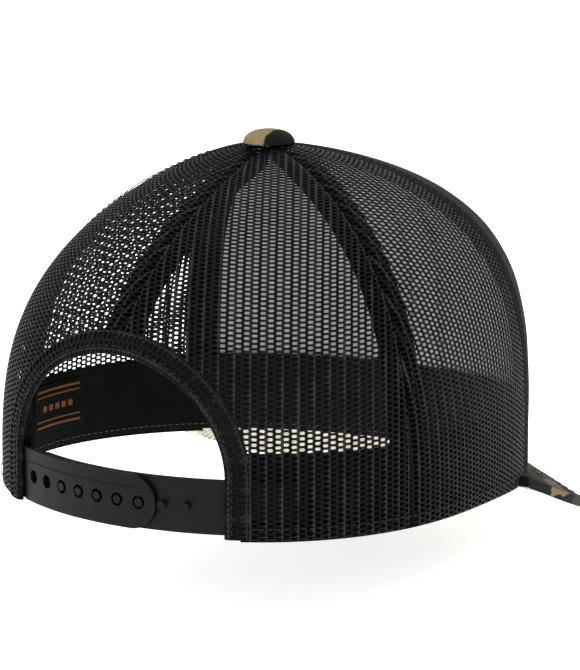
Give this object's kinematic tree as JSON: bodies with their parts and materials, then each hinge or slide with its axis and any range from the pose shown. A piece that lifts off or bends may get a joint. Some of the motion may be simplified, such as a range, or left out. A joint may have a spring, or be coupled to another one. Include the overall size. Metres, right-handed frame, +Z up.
{
  "type": "trucker cap",
  "caption": "Trucker cap with a camouflage twill front, mesh sides and back, a curved visor and an adjustable plastic snap strap under an arched rear opening.",
  "frame": {"origin": "On the floor plane under the middle of the cap: centre of the bounding box in X and Y, lowest point of the visor in Z.", "axes": "+Z is up through the top button, -Y is the way the visor points, +X is the wearer's left. The rim is tipped about 4 degrees nose down."},
  "size_m": [0.1778, 0.2692, 0.1701],
  "materials": {
    "camo_twill": "woven cotton twill printed in tan, dark green, brown and black patches",
    "grey_lining": "stiff open-weave lining",
    "black_mesh": "knitted polyester mesh with staggered oval holes",
    "black_tape": "folded woven tape",
    "black_twill": "ribbed twill with a pale stitch line",
    "label_weave": "satin woven label with orange-brown lines",
    "khaki_twill": "plain woven twill",
    "visor_board_plastic": "moulded sheet, hidden by the cloth",
    "button_metal": "pressed metal",
    "strap_plastic": "moulded plastic, slightly satin"
  },
  "bodies": {
    "crown": {"front_panel_left": "camo_twill", "front_lining_left": "grey_lining", "side_mesh_left": "black_mesh", "back_mesh_left": "black_mesh", "seam_tape_side_front_left": "black_tape", "seam_tape_back_side_left": "black_tape", "front_panel_right": "camo_twill", "front_lining_right": "grey_lining", "side_mesh_right": "black_mesh", "back_mesh_right": "black_mesh", "seam_tape_side_front_right": "black_tape", "seam_tape_back_side_right": "black_tape", "seam_tape_front_center": "grey_lining", "seam_tape_back_center": "black_tape", "arch_tape": "black_tape", "sweatband": "black_twill", "woven_label": "label_weave", "button_cover": "camo_twill", "button_core": "button_metal", "button_washer": "button_metal", "visor_top_cover": "camo_twill", "visor_board": "visor_board_plastic", "visor_under_cover": "khaki_twill", "hole_strap_tab": "strap_plastic", "peg_strap_tab": "strap_plastic"},
    "hole_strap": {"hole_strap": "strap_plastic"},
    "peg_strap": {"peg_strap": "strap_plastic"}
  },
  "joints": [
    {"name": "hole_strap_swing", "type": "hinge", "parent": "crown", "child": "hole_strap", "pos_m": [0.0424, 0.12307, 0.0546], "axis": [0, 0, -1], "range_deg": [0, 70]},
    {"name": "peg_strap_swing", "type": "hinge", "parent": "crown", "child": "peg_strap", "pos_m": [-0.0424, 0.12096, 0.0546], "axis": [0, 0, -1], "range_deg": [0, 50]}
  ]
}
